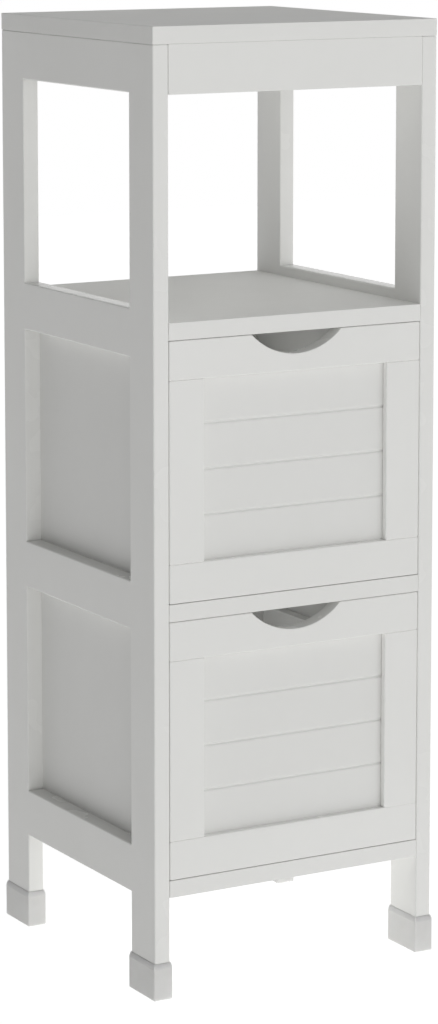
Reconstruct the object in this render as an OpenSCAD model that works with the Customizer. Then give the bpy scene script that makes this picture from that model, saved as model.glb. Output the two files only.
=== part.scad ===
// Free-standing bathroom base cabinet: an open shelf over two drawers, carried by two framed sides.
// The front faces -Y, +X is to the right, and the origin is on the floor under the middle.

/* [Cabinet] */
// Width across the side frames
cabinet_w = 300; // [260:5:450]
// Depth from the front of the legs to their back
cabinet_d = 300; // [270:5:400]
// Height from the floor to the top face
cabinet_h = 890; // [830:5:1000]
// Height of the side frames' bottom rails above the floor
leg_clear = 92; // [60:1:110]
// Height of each of the two drawer bays
bay_h = 241; // [225:1:248]

/* [Boards] */
// Thickness of the MDF boards and strips
board_t = 16; // [15:0.5:18]
// Width of the strips for legs, rails and aprons
strip_w = 45; // [44:1:56]
// Thickness of the thin hardboard sheets
sheet_t = 3; // [2.5:0.5:4]
// Depth that a sheet sits in its groove
sheet_tuck = 5; // [4:0.5:5]
// Clearance of a sheet or a panel in its groove
sheet_clear = 0.2; // [0.1:0.1:0.4]
// Wood left behind the back panel's groove
back_inset = 5; // [5:0.5:8]

/* [Levels] */
// Height of the shelf rails above the shelf's surface
shelf_lip = 10; // [6:1:20]
// How far the middle rails reach below the divider rail
middle_drop = 13; // [10:1:18]
// Height of the bottom board above the bottom rails' lower edge
bottom_rise = 3; // [1:1:12]

/* [Drawer fronts] */
// Gap all round a drawer front
drawer_gap = 0.5; // [0.4:0.1:2]
// Width of a drawer front's rails and stiles
frame_w = 36; // [34:1:45]
// Depth of the plank panel behind the front's face
plank_recess = 7; // [5:0.5:7.5]
// Thickness of the plank panel
plank_t = 5; // [4:0.5:5]
// Depth that the plank panel sits in its frame
plank_tuck = 6; // [4:0.5:7]
// Number of planks that the panel is grooved into
plank_count = 4; // [3:1:6]
// Width of a V-groove between two planks
vee_w = 3; // [1.5:0.5:3.5]
// Width of the hand cut-out at the top edge
handle_w = 95; // [70:5:110]
// Depth of the hand cut-out
handle_drop = 20; // [14:1:21]

/* [Drawer boxes] */
// Thickness of the drawer's sides and back
side_t = 12; // [12:0.5:15]
// Height of the drawer's sides
side_h = 172; // [130:2:180]
// Height of the sides' lower edge above the front's lower edge
side_rise = 8; // [5:1:12]
// Height of the drawer's bottom above the sides' lower edge
floor_rise = 9; // [7:1:12]
// Free space behind the closed drawer
back_space = 24; // [12:1:40]
// Running clearance between a drawer's side and the liner
side_clear = 3; // [2:0.5:4]

/* [Runners] */
// Height of a runner strip
runner_h = 12; // [10:1:14]
// Height of the runners above the bay's floor
runner_level = 98; // [90:1:104]
// Depth of the runner's groove in the drawer's side
runner_groove = 7; // [5:0.5:8]
// Clearance over the runner, where the groove rides on it
runner_seat = 0.3; // [0.2:0.1:0.5]
// Clearance below the runner and at its tip
runner_clear = 0.5; // [0.3:0.1:1]
// Distance of the runner's front end behind the drawer front
runner_setback = 6; // [4:1:12]

/* [Foot caps] */
// Height of a foot cap
cap_h = 35; // [28:1:45]
// Wall of a foot cap
cap_wall = 2; // [1.5:0.1:2.5]
// Floor of a foot cap under the leg
cap_floor = 3; // [2:0.5:4]
// Radius of a foot cap's upright corners
cap_r = 2; // [1:0.5:3]
// Height of the taper at a foot cap's mouth
cap_taper = 5; // [2:0.5:6]
// Thickness left at a foot cap's mouth
cap_lip = 0.5; // [0.4:0.1:1.2]
// Chamfer round a foot cap's sole
cap_chamfer = 1.6; // [0.8:0.2:2]

/* [Fittings] */
// Diameter of the wood dowels
dowel_d = 8; // [6:0.5:8]
// Length of the wood dowels
dowel_l = 30; // [26:1:32]
// Distance between the two dowels of a rail's end
dowel_pitch = 24; // [20:1:26]
// Diameter of a cam lock in the carcass
cam_d = 15; // [12:0.5:15]
// Depth of a cam lock in the carcass
cam_depth = 12.5; // [11:0.5:12.5]
// Distance from a joint's face to the middle of its cam lock
cam_reach = 24; // [22:1:28]
// Diameter of a cam lock in a drawer's side
small_cam_d = 12; // [10:0.5:12]
// Depth of a cam lock in a drawer's side
small_cam_depth = 9.5; // [8:0.5:9.5]
// Length of a cam bolt's thread
thread_l = 11; // [9:0.5:12]
// Diameter of a cam bolt's thread
thread_d = 5; // [4:0.5:6]
// Diameter of the wood screws
screw_d = 3.5; // [3:0.5:4]
// Length of the wood screws
screw_l = 24; // [20:1:25]
// Diameter of the dowels in a drawer front's corners
pin_d = 6; // [5:0.5:6]
// Length of the dowels in a drawer front's corners
pin_l = 24; // [18:1:26]

/* [Hidden] */
$fn = 64;
eps = 0.01;
fit = 0.05;

half_w = cabinet_w / 2;
half_d = cabinet_d / 2;
inner_x = half_w - board_t;
leg_y = half_d - strip_w;
strip_mid_x = half_w - board_t / 2;
strip_mid_y = half_d - board_t / 2;

bottom_z = leg_clear + bottom_rise;
lower_bay_z = bottom_z + board_t;
divider_z = lower_bay_z + bay_h;
upper_bay_z = divider_z + board_t;
shelf_z = upper_bay_z + bay_h;
shelf_rail_z = shelf_z + board_t + shelf_lip - strip_w;
middle_rail_z = divider_z - middle_drop;
top_z = cabinet_h - board_t;
apron_z = top_z - strip_w;
rail_levels = [leg_clear, middle_rail_z, shelf_rail_z, apron_z];

back_panel_y = half_d - back_inset - sheet_t;
liner_x = inner_x - sheet_t;

front_w = 2 * (inner_x - drawer_gap);
front_h = bay_h - 2 * drawer_gap;
front_y = half_d - board_t;
panel_half_w = front_w / 2 - frame_w + plank_tuck - sheet_clear;
handle_r = (pow(handle_w / 2, 2) + pow(handle_drop, 2)) / (2 * handle_drop);

side_x = liner_x - side_clear;
side_inner_x = side_x - side_t;
drawer_back_y = back_panel_y - back_space;
runner_front_y = -front_y + runner_setback;
runner_back_y = back_panel_y - sheet_t;
runner_tip_x = side_x - runner_groove + runner_clear;
runner_screw_y = half_d - strip_w * 2 / 3;

rail_dowel_y = leg_y - dowel_l / 2 + 12;
board_dowel_y = half_d - back_inset - 22.5;
board_bolt_y = half_d - back_inset - 11.5;
apron_dowel_z = apron_z + strip_w / 4;
apron_bolt_z = apron_z + strip_w * 3 / 4;
top_bolt_x = inner_x / 2;
top_dowel_x = inner_x / 5;
leg_bite = 10;
hole_spare = 0.5;
bolt_neck_r = thread_d / 2 - 0.3;
bolt_head_r = 3.4;
bolt_hole_r = dowel_d / 2;
cross_w = 1.8;
cross_l = 7;
cross_depth = 3;
screw_head_r = screw_d;
drawer_bolt_levels = [side_h / 5, side_h * 4 / 5];
back_screw_levels = [side_h / 4, side_h * 3 / 4];
pin_x = front_w / 2 - frame_w / 2;

PAINT = "#dcdcd8";
SHEET = "#d4d4cf";
BEECH = "#cfae83";
ZINC = "#9b9d9f";
STEEL = "#b8babd";
CAP = "#e6e6e2";

CORNERS = [["left", -1], ["right", 1]];
ENDS = [["front", -1], ["back", 1]];
BAYS = [["upper_drawer", upper_bay_z], ["lower_drawer", lower_bay_z]];
RAILS = [["bottom", 0], ["middle", 1], ["shelf", 2], ["top", 3]];

// The two limits of a stretch that starts somewhere, with something to spare at each end.
function span(from, size, spare = 0) = [from - spare, from + size + spare];

// A box between two limits on each axis, given in either order.
module block(x, y, z) {
    translate([min(x), min(y), min(z)])
        cube([abs(x[1] - x[0]), abs(y[1] - y[0]), abs(z[1] - z[0])]);
}

// A rod centred on a point, along one axis.
module rod(centre, axis, length, radius) {
    turn = axis == "x" ? [0, 90, 0] : axis == "y" ? [90, 0, 0] : [0, 0, 0];
    translate(centre)
        rotate(turn)
            cylinder(h = length, r = radius, center = true);
}

// Fittings. Each is drawn at a joint whose face is x = 0, with +X into the board that holds
// the cam, and with the cam's bore opening at -Z, half that board's thickness away.

module cam_bolt() {
    rotate([0, 90, 0])
        rotate_extrude()
            polygon([
                [0, -thread_l], [thread_d / 2, -thread_l], [thread_d / 2, 0], [bolt_head_r, 0],
                [bolt_head_r, 1.5], [bolt_neck_r, 2.5], [bolt_neck_r, cam_reach - 3],
                [bolt_head_r, cam_reach - 1], [bolt_head_r, cam_reach + 1.5], [0, cam_reach + 3],
            ]);
}

module cam_bolt_holes() {
    rod([-(thread_l + hole_spare) / 2, 0, 0], "x", thread_l + hole_spare + eps, thread_d / 2 + fit);
    rod([cam_reach / 2, 0, 0], "x", cam_reach, bolt_hole_r);
}

module cam_lock(cam, depth, thickness) {
    difference() {
        translate([cam_reach, 0, -thickness / 2])
            cylinder(h = depth, d = cam);
        rod([cam_reach / 2, 0, 0], "x", cam_reach + 2 * bolt_hole_r, bolt_hole_r - 0.1);
        for (turn = [0, 90])
            translate([cam_reach, 0, -thickness / 2])
                rotate([0, 0, turn + 45])
                    cube([cross_l, cross_w, 2 * cross_depth], center = true);
    }
}

module cam_lock_hole(cam, depth, thickness) {
    translate([cam_reach, 0, -thickness / 2 - eps])
        cylinder(h = depth + fit + eps, d = cam + 2 * fit);
}

// A countersunk screw with its head at x = 0 and its tip towards +X.
module wood_screw(spare = 0) {
    rotate([0, 90, 0])
        rotate_extrude()
            polygon([
                [0, -spare], [screw_head_r + spare, -spare], [screw_head_r + spare, 0.4 + spare],
                [screw_d / 2 + spare, screw_head_r - screw_d / 2 + 0.4 + spare],
                [screw_d / 2 + spare, screw_l - screw_d], [0, screw_l + spare],
            ]);
}

// Places where the fittings go.

module at_board_end(sx, sy, z) {
    translate([sx * inner_x, sy * board_bolt_y, z + board_t / 2])
        rotate([0, 0, sx > 0 ? 180 : 0])
            children();
}

module at_apron_end(sx, sy) {
    translate([sx * inner_x, sy * strip_mid_y, apron_bolt_z])
        rotate([0, 0, sx > 0 ? 180 : 0])
            rotate([sx * sy * 90, 0, 0])
                children();
}

module at_top_fixing(sx, sy) {
    translate([sx * top_bolt_x, sy * strip_mid_y, top_z])
        rotate([-sy * 90, 90, 0])
            children();
}

module at_drawer_front(sx, level) {
    translate([sx * (side_x - side_t / 2), -front_y, side_rise + level])
        rotate([sx * 90, 0, 90])
            children();
}

module at_drawer_back(sx, level) {
    translate([sx * side_x, drawer_back_y - side_t / 2, side_rise + level])
        rotate([0, 0, sx > 0 ? 180 : 0])
            children();
}

module at_runner_screw(sx, sy, bay_z) {
    translate([sx * runner_tip_x, sy * runner_screw_y, bay_z + runner_level + runner_h / 2])
        rotate([0, 0, sx > 0 ? 0 : 180])
            children();
}

// The boards that meet the legs of one end: the divider rail only meets the front ones.
function boards_at(sy) = sy < 0 ? [bottom_z, divider_z, shelf_z] : [bottom_z, shelf_z];

module rail_dowels(sx, sy, rail_z, spare = 0) {
    for (up = [-1, 1])
        rod([sx * strip_mid_x, sy * rail_dowel_y, rail_z + (strip_w + up * dowel_pitch) / 2],
            "y", dowel_l + 2 * spare, dowel_d / 2 + spare);
}

module board_dowel(sx, sy, z, spare = 0) {
    rod([sx * (inner_x + leg_bite - dowel_l / 2), sy * board_dowel_y, z + board_t / 2],
        "x", dowel_l + 2 * spare, dowel_d / 2 + spare);
}

module apron_dowel(sx, sy, spare = 0) {
    rod([sx * (inner_x + leg_bite - dowel_l / 2), sy * strip_mid_y, apron_dowel_z],
        "x", dowel_l + 2 * spare, dowel_d / 2 + spare);
}

module top_dowel(sx, sy, spare = 0) {
    rod([sx * top_dowel_x, sy * strip_mid_y, top_z + leg_bite - dowel_l / 2],
        "z", dowel_l + 2 * spare, dowel_d / 2 + spare);
}

// Side frames.

module leg(sx, sy) {
    color(PAINT)
        difference() {
            block(sx * [inner_x, half_w], sy * [leg_y, half_d], [cap_floor, top_z]);
            for (rail_z = rail_levels)
                rail_dowels(sx, sy, rail_z, fit);
            for (z = boards_at(sy)) {
                board_dowel(sx, sy, z, fit);
                at_board_end(sx, sy, z) cam_bolt_holes();
            }
            apron_dowel(sx, sy, fit);
            at_apron_end(sx, sy) cam_bolt_holes();
            for (bay = BAYS)
                at_runner_screw(sx, sy, bay[1]) wood_screw(fit);
            if (sy > 0)
                back_panel_space();
        }
}

module rail(sx, level) {
    color(PAINT)
        difference() {
            block(sx * [inner_x, half_w], [-leg_y, leg_y], span(rail_levels[level], strip_w));
            for (end = ENDS)
                rail_dowels(sx, end[1], rail_levels[level], fit);
        }
}

// The thin sheet that closes one drawer bay's side, fixed on the inside of the frame.
module liner(sx, bay_z) {
    color(SHEET)
        difference() {
            block(sx * [liner_x, inner_x], [-front_y + drawer_gap, back_panel_y - sheet_clear],
                span(bay_z, bay_h, -sheet_clear));
            for (end = ENDS)
                at_runner_screw(sx, end[1], bay_z) wood_screw(fit);
        }
}

module runner(sx, bay_z) {
    color(BEECH)
        difference() {
            block(sx * [runner_tip_x, liner_x], [runner_front_y, runner_back_y],
                span(bay_z + runner_level, runner_h));
            for (end = ENDS)
                at_runner_screw(sx, end[1], bay_z) wood_screw(fit);
        }
}

// A moulded shoe over the end of a leg: rounded upright corners, a tapered mouth, a chamfered sole.
module foot_cap(sx, sy) {
    outer = [board_t + 2 * cap_wall, strip_w + 2 * cap_wall];
    color(CAP)
        translate([sx * strip_mid_x, sy * (half_d - strip_w / 2), 0])
            difference() {
                linear_extrude(cap_h)
                    rounded_rectangle(outer, cap_r);
                translate([0, 0, cap_floor])
                    linear_extrude(cap_h)
                        square([board_t + 2 * fit, strip_w + 2 * fit], center = true);
                edge_cuts(outer, 0, cap_chamfer, cap_chamfer);
                edge_cuts(outer, cap_h, cap_wall - cap_lip, -cap_taper);
            }
}

module rounded_rectangle(size, r) {
    square([size[0] - 2 * r, size[1]], center = true);
    square([size[0], size[1] - 2 * r], center = true);
    for (x = [-1, 1], y = [-1, 1])
        translate([x * (size[0] / 2 - r), y * (size[1] / 2 - r)])
            circle(r);
}

// Four cuts round a block's edges at height z: each takes run off the side, over rise of height.
module edge_cuts(size, z, run, rise) {
    for (side = [[size[0], size[1], 0], [size[1], size[0], 90]], half_turn = [0, 180])
        rotate([0, 0, side[2] + half_turn])
            translate([side[0] / 2, side[1] / 2 + 1, z])
                rotate([90, 0, 0])
                    linear_extrude(side[1] + 2)
                        polygon([[-run, 0], [0, rise], [1, rise], [1, -sign(rise)], [-run, -sign(rise)]]);
}

// Boards between the side frames.

module back_panel_space() {
    block((inner_x + sheet_tuck) * [-1, 1], span(back_panel_y, sheet_t, sheet_clear),
        [lower_bay_z - sheet_tuck, shelf_z + sheet_tuck]);
}

module back_panel() {
    color(SHEET)
        block((inner_x + sheet_tuck - sheet_clear) * [-1, 1], span(back_panel_y, sheet_t),
            [lower_bay_z - sheet_tuck + sheet_clear, shelf_z + sheet_tuck - sheet_clear]);
}

module carcass_board(z, back_y) {
    ends = back_y > 0 ? ENDS : [ENDS[0]];
    color(PAINT)
        difference() {
            block([-inner_x, inner_x], [-half_d, back_y], span(z, board_t));
            for (corner = CORNERS, end = ends) {
                board_dowel(corner[1], end[1], z, fit);
                at_board_end(corner[1], end[1], z) {
                    cam_bolt_holes();
                    cam_lock_hole(cam_d, cam_depth, board_t);
                }
            }
            if (back_y > 0)
                back_panel_space();
        }
}

module apron(sy) {
    color(PAINT)
        difference() {
            block([-inner_x, inner_x], sy * [front_y, half_d], [apron_z, top_z]);
            for (corner = CORNERS) {
                apron_dowel(corner[1], sy, fit);
                top_dowel(corner[1], sy, fit);
                at_apron_end(corner[1], sy) {
                    cam_bolt_holes();
                    cam_lock_hole(cam_d, cam_depth, board_t);
                }
                at_top_fixing(corner[1], sy) {
                    cam_bolt_holes();
                    cam_lock_hole(cam_d, cam_depth, board_t);
                }
            }
        }
}

module top_panel() {
    color(PAINT)
        difference() {
            block([-half_w, half_w], [-half_d, half_d], [top_z, cabinet_h]);
            for (corner = CORNERS, end = ENDS) {
                top_dowel(corner[1], end[1], fit);
                at_top_fixing(corner[1], end[1]) cam_bolt_holes();
            }
        }
}

module wood_dowels() {
    color(BEECH)
        for (corner = CORNERS, end = ENDS) {
            for (rail_z = rail_levels)
                rail_dowels(corner[1], end[1], rail_z);
            for (z = boards_at(end[1]))
                board_dowel(corner[1], end[1], z);
            apron_dowel(corner[1], end[1]);
            top_dowel(corner[1], end[1]);
        }
}

// Puts its children at every cam joint of the carcass.
module at_cam_joints() {
    for (corner = CORNERS, end = ENDS) {
        for (z = boards_at(end[1]))
            at_board_end(corner[1], end[1], z) children();
        at_apron_end(corner[1], end[1]) children();
        at_top_fixing(corner[1], end[1]) children();
    }
}

module runner_screws() {
    color(STEEL)
        for (corner = CORNERS, end = ENDS, bay = BAYS)
            at_runner_screw(corner[1], end[1], bay[1]) wood_screw();
}

// Drawers. Each is drawn with its front's lower edge at z = 0, and lifted into its bay.

module plank_space() {
    block((front_w / 2 - frame_w + plank_tuck) * [-1, 1],
        span(-half_d + plank_recess, plank_t, sheet_clear),
        [frame_w - plank_tuck, front_h - frame_w + plank_tuck]);
}

module floor_space(spare) {
    block((side_inner_x + sheet_tuck - sheet_clear + spare) * [-1, 1],
        [-front_y - sheet_tuck + sheet_clear - spare, drawer_back_y - side_t + sheet_tuck - sheet_clear + spare],
        span(side_rise + floor_rise, sheet_t, spare));
}

module front_dowels(spare = 0) {
    for (corner = CORNERS, z = [frame_w, front_h - frame_w])
        rod([corner[1] * pin_x, -strip_mid_y, z], "z", pin_l + 2 * spare, pin_d / 2 + spare);
}

module drawer_top_rail() {
    color(PAINT)
        difference() {
            block(front_w / 2 * [-1, 1], [-half_d, -front_y], [front_h - frame_w, front_h]);
            translate([0, -strip_mid_y, front_h - handle_drop + handle_r])
                rotate([90, 0, 0])
                    cylinder(h = 2 * board_t, r = handle_r, center = true, $fn = 128);
            plank_space();
            front_dowels(fit);
        }
}

module drawer_bottom_rail() {
    color(PAINT)
        difference() {
            block(front_w / 2 * [-1, 1], [-half_d, -front_y], [0, frame_w]);
            plank_space();
            floor_space(sheet_clear);
            front_dowels(fit);
            for (corner = CORNERS, level = drawer_bolt_levels)
                at_drawer_front(corner[1], level) cam_bolt_holes();
        }
}

module drawer_stile(sx) {
    color(PAINT)
        difference() {
            block(sx * [front_w / 2 - frame_w, front_w / 2], [-half_d, -front_y], [frame_w, front_h - frame_w]);
            plank_space();
            front_dowels(fit);
            for (level = drawer_bolt_levels)
                at_drawer_front(sx, level) cam_bolt_holes();
        }
}

module plank_panel() {
    low = frame_w - plank_tuck + sheet_clear;
    high = front_h - low;
    pitch = (front_h - 2 * frame_w) / plank_count;
    face_y = -half_d + plank_recess;
    color(PAINT)
        difference() {
            block(panel_half_w * [-1, 1], span(face_y, plank_t), [low, high]);
            for (i = [1 : plank_count - 1])
                translate([-panel_half_w - 1, face_y, frame_w + i * pitch])
                    rotate([90, 0, 90])
                        linear_extrude(2 * panel_half_w + 2)
                            polygon([[-1, -vee_w / 2 - 1], [vee_w / 2, 0], [-1, vee_w / 2 + 1]]);
        }
}

module drawer_side(sx) {
    seat_z = runner_level - drawer_gap + runner_h + runner_seat;
    color(PAINT)
        difference() {
            block(sx * [side_inner_x, side_x], [-front_y, drawer_back_y], span(side_rise, side_h));
            block(sx * [side_x - runner_groove, side_x + 1],
                [runner_front_y - runner_seat, drawer_back_y + 1],
                span(seat_z, -runner_h - runner_seat - runner_clear));
            floor_space(sheet_clear);
            for (level = drawer_bolt_levels)
                at_drawer_front(sx, level) {
                    cam_bolt_holes();
                    cam_lock_hole(small_cam_d, small_cam_depth, side_t);
                }
            for (level = back_screw_levels)
                at_drawer_back(sx, level) wood_screw(fit);
        }
}

module drawer_back() {
    color(PAINT)
        difference() {
            block(side_inner_x * [-1, 1], span(drawer_back_y, -side_t), span(side_rise, side_h));
            floor_space(sheet_clear);
            for (corner = CORNERS, level = back_screw_levels)
                at_drawer_back(corner[1], level) wood_screw(fit);
        }
}

module drawer_cam_fittings() {
    for (corner = CORNERS, level = drawer_bolt_levels)
        at_drawer_front(corner[1], level) {
            color(STEEL) cam_bolt();
            color(ZINC) cam_lock(small_cam_d, small_cam_depth, side_t);
        }
}

module drawer_back_screws() {
    color(STEEL)
        for (corner = CORNERS, level = back_screw_levels)
            at_drawer_back(corner[1], level) wood_screw();
}

// One piece of a drawer, by the last part of its node's name.
module drawer_piece(piece) {
    if (piece == "top_rail") drawer_top_rail();
    if (piece == "bottom_rail") drawer_bottom_rail();
    if (piece == "left_stile") drawer_stile(-1);
    if (piece == "right_stile") drawer_stile(1);
    if (piece == "plank_panel") plank_panel();
    if (piece == "left_side") drawer_side(-1);
    if (piece == "right_side") drawer_side(1);
    if (piece == "back") drawer_back();
    if (piece == "floor") color(SHEET) floor_space(0);
    if (piece == "cam_fittings") drawer_cam_fittings();
    if (piece == "back_screws") drawer_back_screws();
    if (piece == "front_dowels") color(BEECH) front_dowels();
}

DRAWER_PIECES = [
    "top_rail", "bottom_rail", "left_stile", "right_stile", "plank_panel", "left_side",
    "right_side", "back", "floor", "cam_fittings", "back_screws", "front_dowels",
];

top_panel();
apron(-1);  // front_apron
apron(1);  // back_apron
carcass_board(shelf_z, half_d);  // shelf_board
carcass_board(divider_z, strip_w - half_d);  // divider_rail
carcass_board(bottom_z, half_d);  // bottom_board
back_panel();
wood_dowels();
color(STEEL) at_cam_joints() cam_bolt();  // cam_bolts
color(ZINC) at_cam_joints() cam_lock(cam_d, cam_depth, board_t);  // cam_locks
runner_screws();

for (corner = CORNERS) {
    for (end = ENDS) {
        leg(corner[1], end[1]);
        foot_cap(corner[1], end[1]);
    }
    for (r = RAILS)
        rail(corner[1], r[1]);
    for (bay = BAYS) {
        liner(corner[1], bay[1]);
        runner(corner[1], bay[1]);
    }
}

for (bay = BAYS, piece = DRAWER_PIECES)
    translate([0, 0, bay[1] + drawer_gap])
            drawer_piece(piece);
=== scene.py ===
"""Looks of the bathroom base cabinet: painted boards, plastic foot caps, soft studio light, one camera."""

import math

import bmesh
import bpy
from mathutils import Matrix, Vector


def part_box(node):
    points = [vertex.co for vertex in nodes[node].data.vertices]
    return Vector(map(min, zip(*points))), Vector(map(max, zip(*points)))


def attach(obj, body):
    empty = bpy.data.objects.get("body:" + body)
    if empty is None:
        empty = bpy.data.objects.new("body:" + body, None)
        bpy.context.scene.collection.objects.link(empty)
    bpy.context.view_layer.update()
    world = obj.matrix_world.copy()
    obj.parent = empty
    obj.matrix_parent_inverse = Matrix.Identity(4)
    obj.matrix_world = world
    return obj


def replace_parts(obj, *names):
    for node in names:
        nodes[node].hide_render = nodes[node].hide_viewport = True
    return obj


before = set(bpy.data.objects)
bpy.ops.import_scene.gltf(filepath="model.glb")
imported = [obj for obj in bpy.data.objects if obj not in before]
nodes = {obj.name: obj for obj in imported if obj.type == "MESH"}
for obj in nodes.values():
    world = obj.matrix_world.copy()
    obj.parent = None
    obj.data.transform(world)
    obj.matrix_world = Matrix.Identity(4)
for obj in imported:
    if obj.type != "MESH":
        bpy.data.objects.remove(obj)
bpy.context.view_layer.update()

# How far edges are eased, in metres, and in how many steps.
BOARD_EDGE = 0.0005
FRAME_EDGE = 0.0014
SHEET_EDGE = 0.0003
FRONT_EDGE = 0.001
PLANK_EDGE = 0.0008
BOX_EDGE = 0.0008
CAP_EDGE = 0.00025
EASE_STEPS = 3
# Only corners sharper than this are eased.
CORNER = math.radians(40)
# Corners sharper than this keep a crease in their shading.
CREASE = math.radians(35)
# Faces that differ by less than this are one flat face.
FLAT = math.radians(0.5)
# Points nearer than this, in metres, are in the same place.
SAME = 0.000001

# Height of the relief of each finish, in metres.
ORANGE_PEEL = 0.00003
STIPPLE = 0.000006
FIBRES = 0.00001
NIBS = 0.00004
BEECH_GRAIN = 0.00003
ZINC_SKIN = 0.00001
STEEL_SKIN = 0.000003
MOULD_GRAIN = 0.000008
MOULD_WAVES = 0.00006

# Paint: the two ends of its drift in tone, and the paler tone of the drawer fronts' cut edges, which is
# painted light: it lifts the shade in the gaps round the drawers and in the hand cut-outs.
LIGHT = (0.828, 0.828, 0.809)
DARK = (0.803, 0.803, 0.782)
PAINTED_EDGE_LIGHT = (0.93, 0.93, 0.91)
# Painted hardboard and the planks are a shade darker than painted board.
SHEET_SHADE = 0.95
PLANK_SHADE = 0.955
PLASTIC_IOR = 1.45

# The upper lip of a foot cap, where its plastic is painted paler: painted light that stands in for light
# through the thin plastic and lifts the shade on its taper. From where to where, below its top, in metres.
PAINTED_LIP_LIGHT_FROM = 0.0065
PAINTED_LIP_LIGHT_TO = 0.001
# How far light spreads inside the plastic, in metres.
CAP_GLOW_DEPTH = 0.003

AXES = {"x": (1, 0, 0), "y": (0, 1, 0), "z": (0, 0, 1)}


# Materials.

def new_material(name):
    material = bpy.data.materials.new(name)
    material.use_nodes = True
    return material, material.node_tree, material.node_tree.nodes["Principled BSDF"]


def add(tree, kind, inputs=None, **settings):
    """A node of a kind, with its settings and the values of its inputs."""
    made = tree.nodes.new(kind)
    for key, value in settings.items():
        setattr(made, key, value)
    for key, value in (inputs or {}).items():
        if isinstance(value, bpy.types.NodeSocket):
            tree.links.new(value, made.inputs[key])
        else:
            made.inputs[key].default_value = value
    return made


def place(tree, scale=(1, 1, 1), offset=(0, 0, 0)):
    """The object's own coordinates, scaled and moved."""
    coordinates = add(tree, "ShaderNodeTexCoord")
    mapping = add(tree, "ShaderNodeMapping", {
        "Vector": coordinates.outputs["Object"], "Scale": scale, "Location": offset})
    return mapping.outputs["Vector"]


def noise(tree, vector, scale, detail=2.0, roughness=0.5, distortion=0.0):
    made = add(tree, "ShaderNodeTexNoise", {
        "Vector": vector, "Scale": scale, "Detail": detail, "Roughness": roughness,
        "Distortion": distortion})
    return made.outputs["Fac"]


def spread(tree, value, low, high, to_low, to_high):
    """The value, moved from one range to another and held inside it."""
    made = add(tree, "ShaderNodeMapRange", {
        "Value": value, "From Min": low, "From Max": high, "To Min": to_low, "To Max": to_high})
    return made.outputs["Result"]


def blend_colours(tree, factor, first, second):
    """The first colour where the factor is 0, the second where it is 1."""
    made = add(tree, "ShaderNodeMix", data_type="RGBA")
    sockets = {s.identifier: s for s in made.inputs}
    tree.links.new(factor, sockets["Factor_Float"])
    for socket, colour in (("A_Color", first), ("B_Color", second)):
        if isinstance(colour, bpy.types.NodeSocket):
            tree.links.new(colour, sockets[socket])
        else:
            sockets[socket].default_value = (*colour, 1)
    return [s for s in made.outputs if s.identifier == "Result_Color"][0]


def maths(tree, operation, first, second=None):
    made = add(tree, "ShaderNodeMath", operation=operation)
    for socket, value in zip(made.inputs, (first, second)):
        if isinstance(value, bpy.types.NodeSocket):
            tree.links.new(value, socket)
        elif value is not None:
            socket.default_value = value
    return made.outputs[0]


def along(tree, vector, direction):
    """How far a vector points along a direction: 1 is all the way."""
    made = add(tree, "ShaderNodeVectorMath", operation="DOT_PRODUCT")
    tree.links.new(vector, made.inputs[0])
    made.inputs[1].default_value = direction
    return made.outputs["Value"]


def bump(tree, height, distance, strength=1.0, under=None):
    """Normals bent by a relief, on top of the relief under it."""
    made = add(tree, "ShaderNodeBump", {"Height": height, "Distance": distance, "Strength": strength})
    if under is not None:
        tree.links.new(under, made.inputs["Normal"])
    return made.outputs["Normal"]


def connect(tree, shader, tone, gloss, normals):
    tree.links.new(tone, shader.inputs["Base Color"])
    tree.links.new(gloss, shader.inputs["Roughness"])
    tree.links.new(normals, shader.inputs["Normal"])


def shade(colour, factor):
    return [factor * part for part in colour]


def paint(name, light, dark, face_axis, roughness=0.42, peel=1.0, shine=0.35, painted_edge_light=None):
    """Satin lacquer on board: a faint drift of tone, orange peel, a few nibs, and the thicker, glossier
    coat of the board's cut edges, which are the faces that don't point along face_axis. Where a paler
    edge colour is given, the cut edges are painted with it: painted light that lifts the shade in gaps
    and cut-outs."""
    material, tree, shader = new_material(name)
    here = place(tree)
    drift = spread(tree, noise(tree, here, 3.5, 3.0), 0.32, 0.68, 0, 1)
    cloud = spread(tree, noise(tree, here, 55.0), 0.3, 0.7, -0.12, 0.12)
    tone = blend_colours(tree, maths(tree, "ADD", drift, cloud), dark, light)

    facing = along(tree, add(tree, "ShaderNodeTexCoord").outputs["Normal"], face_axis)
    edge = spread(tree, maths(tree, "ABSOLUTE", facing), 0.6, 0.9, 1, 0)
    # Painted light: the cut edges can take a paler colour that lifts the shade in the gaps.
    if painted_edge_light:
        tone = blend_colours(tree, edge, tone, painted_edge_light)

    fibre = noise(tree, here, 420.0, 4.0, 0.65)
    cells = add(tree, "ShaderNodeTexVoronoi", {"Vector": here, "Scale": 42.0, "Randomness": 1.0})
    nib = spread(tree, cells.outputs["Distance"], 0.0, 0.018, 1, 0)

    normals = bump(tree, noise(tree, here, 240.0), ORANGE_PEEL * peel, 0.9)
    normals = bump(tree, noise(tree, here, 1100.0), STIPPLE * peel, 0.9, normals)
    normals = bump(tree, maths(tree, "MULTIPLY", fibre, edge), FIBRES, 0.8, normals)
    normals = bump(tree, nib, NIBS, 0.6, normals)
    gloss = spread(tree, noise(tree, here, 24.0), 0.3, 0.7, roughness - 0.03, roughness + 0.04)
    gloss = maths(tree, "SUBTRACT", gloss, maths(tree, "MULTIPLY", edge, 0.17))

    connect(tree, shader, tone, gloss, normals)
    shader.inputs["IOR"].default_value = PLASTIC_IOR
    shader.inputs["Specular IOR Level"].default_value = shine
    return material


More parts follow.
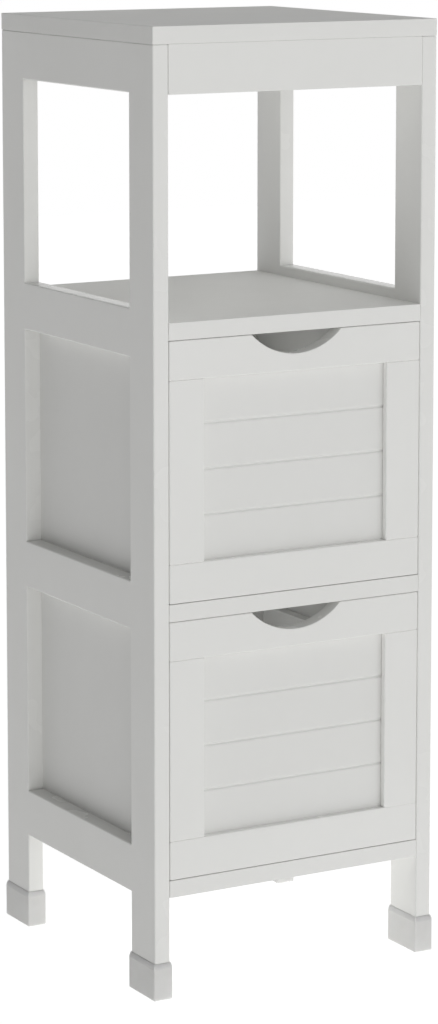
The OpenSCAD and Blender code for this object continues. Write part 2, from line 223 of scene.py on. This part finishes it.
def beech(name, grain):
    """Planed beech. grain is the scale of the figure on each axis: small along the fibres."""
    material, tree, shader = new_material(name)
    rings = noise(tree, place(tree, grain), 1.0, 6.0, 0.6, 0.4)
    flecks = noise(tree, place(tree, shade(grain, 9), (3, 1, 2)), 1.0)
    pores = spread(tree, flecks, 0.62, 0.70, 0, 1)
    figure = spread(tree, rings, 0.35, 0.65, 0, 1)
    tone = blend_colours(tree, figure, (0.50, 0.33, 0.185), (0.64, 0.46, 0.285))
    tone = blend_colours(tree, maths(tree, "MULTIPLY", pores, 0.35), tone, (0.30, 0.17, 0.085))
    normals = bump(tree, rings, BEECH_GRAIN, 0.7)
    normals = bump(tree, pores, BEECH_GRAIN, -0.7, normals)
    connect(tree, shader, tone, spread(tree, rings, 0.3, 0.7, 0.50, 0.62), normals)
    return material


def metal(name, light, dark, roughness, skin):
    """Plated steel, or die-cast zinc with the skin of its mould."""
    material, tree, shader = new_material(name)
    here = place(tree)
    patches = spread(tree, noise(tree, here, 160.0, 3.0), 0.3, 0.7, 0, 1)
    gloss = spread(tree, noise(tree, here, 420.0, 3.0), 0.3, 0.7, roughness - 0.06, roughness + 0.1)
    normals = bump(tree, noise(tree, here, 1500.0, 3.0), skin)
    connect(tree, shader, blend_colours(tree, patches, dark, light), gloss, normals)
    shader.inputs["Metallic"].default_value = 1.0
    return material


def milky_plastic(name, top):
    """Injection-moulded soft plastic that lets some light through, with a paler tone painted on its thin
    upper lip: painted light that lifts the shade there.
    """
    material, tree, shader = new_material(name)
    here = place(tree)
    cloud = spread(tree, noise(tree, here, 70.0, 3.0), 0.3, 0.7, 0, 1)
    tone = blend_colours(tree, cloud, (0.87, 0.865, 0.84), (0.91, 0.905, 0.885))
    height = add(tree, "ShaderNodeSeparateXYZ", {"Vector": here}).outputs["Z"]
    # Painted light: the upper lip is painted paler, lifting the shade of the taper and of the crease at
    # the leg.
    painted_lip_light = spread(tree, height, top - PAINTED_LIP_LIGHT_FROM, top - PAINTED_LIP_LIGHT_TO, 0, 1)
    tone = blend_colours(tree, painted_lip_light, tone, (0.97, 0.97, 0.95))
    gloss = spread(tree, noise(tree, here, 130.0), 0.3, 0.7, 0.36, 0.46)
    normals = bump(tree, noise(tree, here, 1400.0), MOULD_GRAIN)
    normals = bump(tree, noise(tree, here, 90.0, 1.0), MOULD_WAVES, 0.6, normals)
    connect(tree, shader, tone, gloss, normals)
    shader.inputs["Transmission Weight"].default_value = 0.2
    shader.inputs["Subsurface Weight"].default_value = 1.0
    shader.inputs["Subsurface Radius"].default_value = (1, 1, 1)
    shader.inputs["Subsurface Scale"].default_value = CAP_GLOW_DEPTH
    shader.inputs["IOR"].default_value = PLASTIC_IOR
    return material


# Boards are painted by the axis that their faces point along. Flat ones are duller.
PAINT = {"x": paint("satin_paint_x", LIGHT, DARK, AXES["x"]),
         "y": paint("satin_paint_y", LIGHT, DARK, AXES["y"]),
         "z": paint("satin_paint_z", LIGHT, DARK, AXES["z"], roughness=0.60, shine=0.12)}
SHEET = {}
for axis, vector in AXES.items():
    SHEET[axis] = paint("painted_hardboard_" + axis, shade(LIGHT, SHEET_SHADE), shade(DARK, SHEET_SHADE),
                        vector, roughness=0.46, peel=0.6)
# The drawer fronts' cut edges are painted paler: painted light that lifts the shade in the gaps round the
# drawers and in the hand cut-outs.
FRONTS = paint("satin_paint_fronts_painted_edge_light", LIGHT, DARK, AXES["y"], painted_edge_light=PAINTED_EDGE_LIGHT)
PLANKS = paint("satin_paint_planks", shade(LIGHT, PLANK_SHADE), shade(DARK, PLANK_SHADE), AXES["y"])
BEECH_RUNNER = beech("beech_runner", (90, 5, 140))
BEECH_DOWEL = beech("beech_dowel", (120, 120, 120))
ZINC = metal("cast_zinc", (0.60, 0.61, 0.63), (0.46, 0.47, 0.49), 0.40, ZINC_SKIN)
STEEL = metal("plated_steel", (0.70, 0.70, 0.66), (0.58, 0.60, 0.64), 0.26, STEEL_SKIN)
CAP = milky_plastic("milky_cap_plastic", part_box("left_front_foot_cap")[1].z)


# Pieces that keep their CAD shape. Each mesh is welded, its flat faces are joined up, and its edges
# are eased.

# Endings of the pieces' names, with their material and how far their edges are eased.
FINISHES = (
    (("top_panel", "shelf_board", "divider_rail", "bottom_board"), PAINT["z"], BOARD_EDGE),
    (("_apron",), PAINT["y"], BOARD_EDGE),
    (("_liner",), SHEET["x"], SHEET_EDGE),
    (("back_panel",), SHEET["y"], SHEET_EDGE),
    (("drawer_floor",), SHEET["z"], SHEET_EDGE),
    (("drawer_top_rail", "drawer_bottom_rail", "_stile"), FRONTS, FRONT_EDGE),
    (("_plank_panel",), PLANKS, PLANK_EDGE),
    (("drawer_left_side", "drawer_right_side"), PAINT["x"], BOX_EDGE),
    (("drawer_back",), PAINT["y"], BOX_EDGE),
    (("_runner",), BEECH_RUNNER, BOX_EDGE),
    (("_foot_cap",), CAP, CAP_EDGE),
    (("_dowels",), BEECH_DOWEL, None),
    (("cam_bolts", "_screws"), STEEL, None),
    (("cam_locks", "cam_fittings"), ZINC, None),
)


def dress(piece, material, edge):
    piece.data.materials.clear()
    piece.data.materials.append(material)
    if edge is None:
        return
    weld = piece.modifiers.new("weld", "WELD")
    weld.merge_threshold = SAME
    flat = piece.modifiers.new("flat", "DECIMATE")
    flat.decimate_type = "DISSOLVE"
    flat.angle_limit = FLAT
    ease = piece.modifiers.new("ease", "BEVEL")
    ease.width = edge
    ease.segments = EASE_STEPS
    ease.limit_method = "ANGLE"
    ease.angle_limit = CORNER
    ease.use_clamp_overlap = False
    even_shading(piece, keep_sharp=False)


def even_shading(piece, keep_sharp):
    """Flat faces shade flat, and only the eased edges shade round."""
    even = piece.modifiers.new("even", "WEIGHTED_NORMAL")
    even.weight = 50
    even.keep_sharp = keep_sharp


for name, piece in nodes.items():
    for endings, material, edge in FINISHES:
        if name.endswith(endings):
            dress(piece, material, edge)


# The side frames. Paint covers the joints of their legs and rails, so each frame is made in one
# piece, its edges are eased, and it is then parted along its joints into legs and rails again.

RAILS = ("bottom", "middle", "shelf", "top")


def side_frame(side):
    """The frame's outline with its windows, as a mesh with eased edges."""
    front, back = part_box(side + "_front_leg"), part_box(side + "_back_leg")
    rails = [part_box(f"{side}_{level}_rail") for level in RAILS]
    ys = [front[0].y, front[1].y, back[0].y, back[1].y]
    zs = sorted({round(z, 6) for low, high in [front, *rails] for z in (low.z, high.z)})

    def solid(i, j):
        """Whether cell i from the front and j from the floor is wood: a leg, or a rail between legs."""
        if not (0 <= i < 3 and 0 <= j < len(zs) - 1):
            return False
        middle = (zs[j] + zs[j + 1]) / 2
        return i != 1 or any(low.z < middle < high.z for low, high in rails)

    mesh = bmesh.new()
    points = {}

    def point(x, i, j):
        key = (x, i, j)
        if key not in points:
            points[key] = mesh.verts.new((x, ys[i], zs[j]))
        return points[key]

    x0, x1 = front[0].x, front[1].x
    for i in range(3):
        for j in range(len(zs) - 1):
            if not solid(i, j):
                continue
            corners = [(i, j), (i + 1, j), (i + 1, j + 1), (i, j + 1)]
            mesh.faces.new([point(x1, *c) for c in corners])
            mesh.faces.new([point(x0, *c) for c in reversed(corners)])
            beside = [(i, j - 1), (i + 1, j), (i, j + 1), (i - 1, j)]
            for (a, b), other in zip(zip(corners, corners[1:] + corners[:1]), beside):
                if not solid(*other):
                    mesh.faces.new([point(x0, *a), point(x0, *b), point(x1, *b), point(x1, *a)])
    bmesh.ops.recalc_face_normals(mesh, faces=mesh.faces)
    inner = min((x0, x1), key=abs)
    bays = [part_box(f"{side}_{bay}_drawer_liner") for bay in ("lower", "upper")]

    def under_liner(edge):
        """An edge of a window, on the inside of the frame, that a drawer's side panel covers."""
        return all(abs(v.co.x - inner) < SAME and abs(v.co.y) < -ys[1] + SAME
                   and any(low.z < v.co.z < high.z for low, high in bays) for v in edge.verts)

    sharp = [e for e in mesh.edges if e.calc_face_angle(0) > CORNER and not under_liner(e)]
    bmesh.ops.bevel(mesh, geom=sharp, offset=FRAME_EDGE, offset_type="OFFSET", segments=EASE_STEPS,
                    profile=0.5, affect="EDGES", clamp_overlap=False)
    return mesh


def part_of(whole, belongs):
    """A closed mesh of the frame's faces whose middle belongs to one leg or rail."""
    mesh = whole.copy()
    others = [f for f in mesh.faces if not belongs(f.calc_center_median())]
    bmesh.ops.delete(mesh, geom=others, context="FACES")
    bmesh.ops.holes_fill(mesh, edges=[e for e in mesh.edges if e.is_boundary])
    return mesh


def painted_board(name, mesh):
    """A piece of the cabinet made from a mesh, with creases at its corners."""
    data = bpy.data.meshes.new(name)
    bmesh.ops.recalc_face_normals(mesh, faces=mesh.faces)
    for edge in mesh.edges:
        edge.smooth = edge.calc_face_angle(0) < CREASE
    mesh.to_mesh(data)
    data.polygons.foreach_set("use_smooth", [True] * len(data.polygons))
    data.materials.append(PAINT["x"])
    piece = bpy.data.objects.new(name, data)
    bpy.context.scene.collection.objects.link(piece)
    even_shading(piece, keep_sharp=True)
    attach(piece, "cabinet")
    return piece


for side in ("left", "right"):
    whole = side_frame(side)
    joint_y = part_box(side + "_front_leg")[1].y + SAME
    parts = {f"{side}_front_leg": lambda c: c.y <= joint_y,
             f"{side}_back_leg": lambda c: c.y >= -joint_y}
    for level in RAILS:
        low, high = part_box(f"{side}_{level}_rail")
        parts[f"{side}_{level}_rail"] = lambda c, low=low, high=high: (
            abs(c.y) < -joint_y and low.z - SAME < c.z < high.z + SAME)
    for name, belongs in parts.items():
        mesh = part_of(whole, belongs)
        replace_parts(painted_board(name + "_painted", mesh), name)
        mesh.free()
    whole.free()


# Floor, light and camera.

# The floor: its reach and how far it lies under the feet, in metres.
FLOOR_REACH = 6.0
FLOOR_DROP = 0.0004
# The floor's own colour and glow, as the object sees it and as the camera and mirrors see it.
FLOOR_COLOUR = 0.80
FLOOR_GLOW = 0.556
SEEN_FLOOR_COLOUR = 0.40
SEEN_FLOOR_GLOW = 0.86

# Soft lights around the room: where each one is, in degrees round from +X and degrees up, how narrow it
# is, and how strong.
SOFT_LIGHTS = (
    (0, 5, 14, 0.138), (60, 5, 14, 0.690), (90, 5, 14, 1.379), (240, 5, 14, 1.069), (270, 5, 14, 1.500),
    (300, 5, 14, 0.784), (330, 5, 14, 0.155), (0, 35, 8, 0.172), (90, 35, 8, 0.259), (270, 35, 8, 0.293),
    (315, 35, 8, 0.552), (0, 68, 8, 0.517), (90, 68, 8, 0.259),
)

# Weak lamps, for the light that finds its way into a bay or back from the floor: their power in watts,
# their radius and their place in metres. A place with two numbers gets its height from the frame.
DRAWER_BAY_POWER = 0.059
DRAWER_BAY_RADIUS = 0.02
DRAWER_BAY_AT = (0.03, 0.05)
BELOW_RAIL_TOP = 0.04
OPEN_BAY_POWER = 0.083
OPEN_BAY_RADIUS = 0.05
OPEN_BAY_AT = (-0.05, -0.10)
UNDER_POWER = 0.06
UNDER_RADIUS = 0.05
UNDER_AT = (-0.03, -0.03, 0.07)

# The camera: its place in metres, how far it tilts down and turns away from +Y in degrees, and its lens.
CAMERA_AT = (-1.60806, -2.80320, 1.04129)
CAMERA_TILT = 7.54
CAMERA_TURN = 29.9
SENSOR_WIDTH = 36.0
LENS = 120.6
SHIFT_Y = -0.2
CLIP_NEAR = 0.05
CLIP_FAR = 60.0


def seen(tree):
    """1 for rays from the camera, and for those that mirror or pass through something."""
    path = add(tree, "ShaderNodeLightPath")
    some = maths(tree, "MAXIMUM", path.outputs["Is Camera Ray"], path.outputs["Is Glossy Ray"])
    return maths(tree, "MAXIMUM", some, path.outputs["Is Transmission Ray"])


def lit_floor(tree, grey, glow):
    both = add(tree, "ShaderNodeAddShader")
    surface = add(tree, "ShaderNodeBsdfDiffuse", {"Color": (grey, grey, grey, 1)})
    light = add(tree, "ShaderNodeEmission", {"Strength": glow})
    tree.links.new(surface.outputs[0], both.inputs[0])
    tree.links.new(light.outputs[0], both.inputs[1])
    return both.outputs[0]


def make_floor():
    mesh = bmesh.new()
    bmesh.ops.create_grid(mesh, x_segments=8, y_segments=8, size=FLOOR_REACH)
    data = bpy.data.meshes.new("floor")
    mesh.to_mesh(data)
    mesh.free()
    floor = bpy.data.objects.new("floor", data)
    bpy.context.scene.collection.objects.link(floor)
    floor.location.z = -FLOOR_DROP
    material = bpy.data.materials.new("white_floor")
    material.use_nodes = True
    tree = material.node_tree
    tree.nodes.clear()
    mix = add(tree, "ShaderNodeMixShader")
    tree.links.new(seen(tree), mix.inputs[0])
    tree.links.new(lit_floor(tree, FLOOR_COLOUR, FLOOR_GLOW), mix.inputs[1])
    tree.links.new(lit_floor(tree, SEEN_FLOOR_COLOUR, SEEN_FLOOR_GLOW), mix.inputs[2])
    tree.links.new(mix.outputs[0], add(tree, "ShaderNodeOutputMaterial").inputs["Surface"])
    data.materials.append(material)


def make_world():
    """Soft lights for the object, and plain white for the camera, mirrors and glass."""
    world = bpy.data.worlds.new("studio")
    bpy.context.scene.world = world
    world.use_nodes = True
    tree = world.node_tree
    background = tree.nodes["Background"]
    background.inputs["Color"].default_value = (1, 1, 1, 1)
    way = add(tree, "ShaderNodeTexCoord").outputs["Generated"]
    total = 0.0
    for around, up, narrow, strength in SOFT_LIGHTS:
        around, up = math.radians(around), math.radians(up)
        direction = (math.cos(up) * math.cos(around), math.cos(up) * math.sin(around), math.sin(up))
        facing = maths(tree, "MAXIMUM", along(tree, way, direction), 0.0)
        lobe = maths(tree, "POWER", facing, narrow)
        total = maths(tree, "ADD", maths(tree, "MULTIPLY", lobe, strength), total)
    white = seen(tree)
    lit = maths(tree, "MULTIPLY", total, maths(tree, "SUBTRACT", 1.0, white))
    tree.links.new(maths(tree, "ADD", lit, white), background.inputs["Strength"])


def fill_light(name, at, power, radius):
    light = bpy.data.lights.new(name, "POINT")
    light.shadow_soft_size = radius
    light.energy = power
    lamp = bpy.data.objects.new(name, light)
    lamp.location = at
    lamp.visible_camera = False
    lamp.visible_glossy = False
    bpy.context.scene.collection.objects.link(lamp)


def make_fill_lights():
    for drawer in ("upper_drawer", "lower_drawer"):
        rail_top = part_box(drawer + "_top_rail")[1].z
        fill_light(drawer + "_bay_light", (*DRAWER_BAY_AT, rail_top - BELOW_RAIL_TOP),
                   DRAWER_BAY_POWER, DRAWER_BAY_RADIUS)
    apron_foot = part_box("front_apron")[0].z
    fill_light("open_bay_light", (*OPEN_BAY_AT, apron_foot), OPEN_BAY_POWER, OPEN_BAY_RADIUS)
    fill_light("under_light", UNDER_AT, UNDER_POWER, UNDER_RADIUS)


def make_camera():
    camera = bpy.data.cameras.new("camera")
    camera.sensor_fit = "AUTO"
    camera.sensor_width = SENSOR_WIDTH
    camera.lens = LENS
    camera.shift_y = SHIFT_Y
    camera.clip_start = CLIP_NEAR
    camera.clip_end = CLIP_FAR
    holder = bpy.data.objects.new("camera", camera)
    holder.location = CAMERA_AT
    holder.rotation_euler = (math.radians(90 - CAMERA_TILT), 0, math.radians(-CAMERA_TURN))
    bpy.context.scene.collection.objects.link(holder)
    bpy.context.scene.camera = holder


bpy.context.scene.view_settings.view_transform = "Standard"
make_floor()
make_world()
make_fill_lights()
make_camera()
